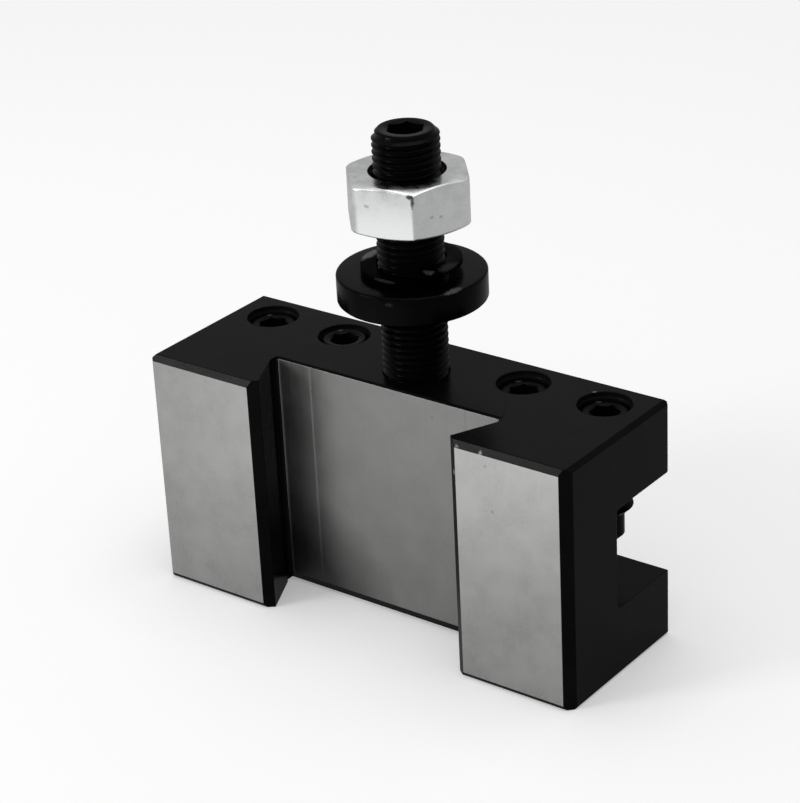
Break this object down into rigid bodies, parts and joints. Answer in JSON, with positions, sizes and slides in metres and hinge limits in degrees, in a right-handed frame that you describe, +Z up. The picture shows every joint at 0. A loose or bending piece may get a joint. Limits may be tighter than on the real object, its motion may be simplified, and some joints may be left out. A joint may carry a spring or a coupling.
{
  "type": "lathe tool holder",
  "caption": "Turning and facing tool holder for a dovetail quick-change post: steel block with a rear tool slot, clamping set screws, and a height stud with collar, washer and lock nut.",
  "frame": {"origin": "centre of the block's bottom face, midway between its ends and between its front and back faces", "axes": "+X along the tool slot, -Y out of the ground lands towards the tool post, +Z up along the stud"},
  "size_m": [0.0746, 0.0271, 0.0756],
  "materials": {
    "holder_steel": "black oxide, satin, with ground lands and a ground channel floor",
    "stud_steel": "black oxide, oiled",
    "collar_steel": "black oxide, turned and oiled",
    "zinc_plate": "bright zinc plate",
    "screw_steel": "black oxide, oiled"
  },
  "bodies": {
    "holder": {"holder_body": "holder_steel", "height_stud": "stud_steel"},
    "height_collar": {"height_collar": "collar_steel", "spring_washer": "collar_steel"},
    "lock_nut": {"lock_nut": "zinc_plate"},
    "set_screw_1": {"set_screw_1": "screw_steel"},
    "set_screw_2": {"set_screw_2": "screw_steel"},
    "set_screw_3": {"set_screw_3": "screw_steel"},
    "set_screw_4": {"set_screw_4": "screw_steel"}
  },
  "joints": [
    {"name": "collar_height", "type": "slide", "parent": "holder", "child": "height_collar", "axis": [0, 0, 1], "range_m": [-0.0115, 0.006]},
    {"name": "nut_lift", "type": "slide", "parent": "height_collar", "child": "lock_nut", "axis": [0, 0, 1], "range_m": [-0.00535, 0.006]},
    {"name": "screw_1_feed", "type": "slide", "parent": "holder", "child": "set_screw_1", "axis": [0, 0, 1], "range_m": [-0.0059, 0.0097]},
    {"name": "screw_2_feed", "type": "slide", "parent": "holder", "child": "set_screw_2", "axis": [0, 0, 1], "range_m": [-0.00645, 0.00915]},
    {"name": "screw_3_feed", "type": "slide", "parent": "holder", "child": "set_screw_3", "axis": [0, 0, 1], "range_m": [-0.00575, 0.00985]},
    {"name": "screw_4_feed", "type": "slide", "parent": "holder", "child": "set_screw_4", "axis": [0, 0, 1], "range_m": [-0.00585, 0.00975]}
  ]
}
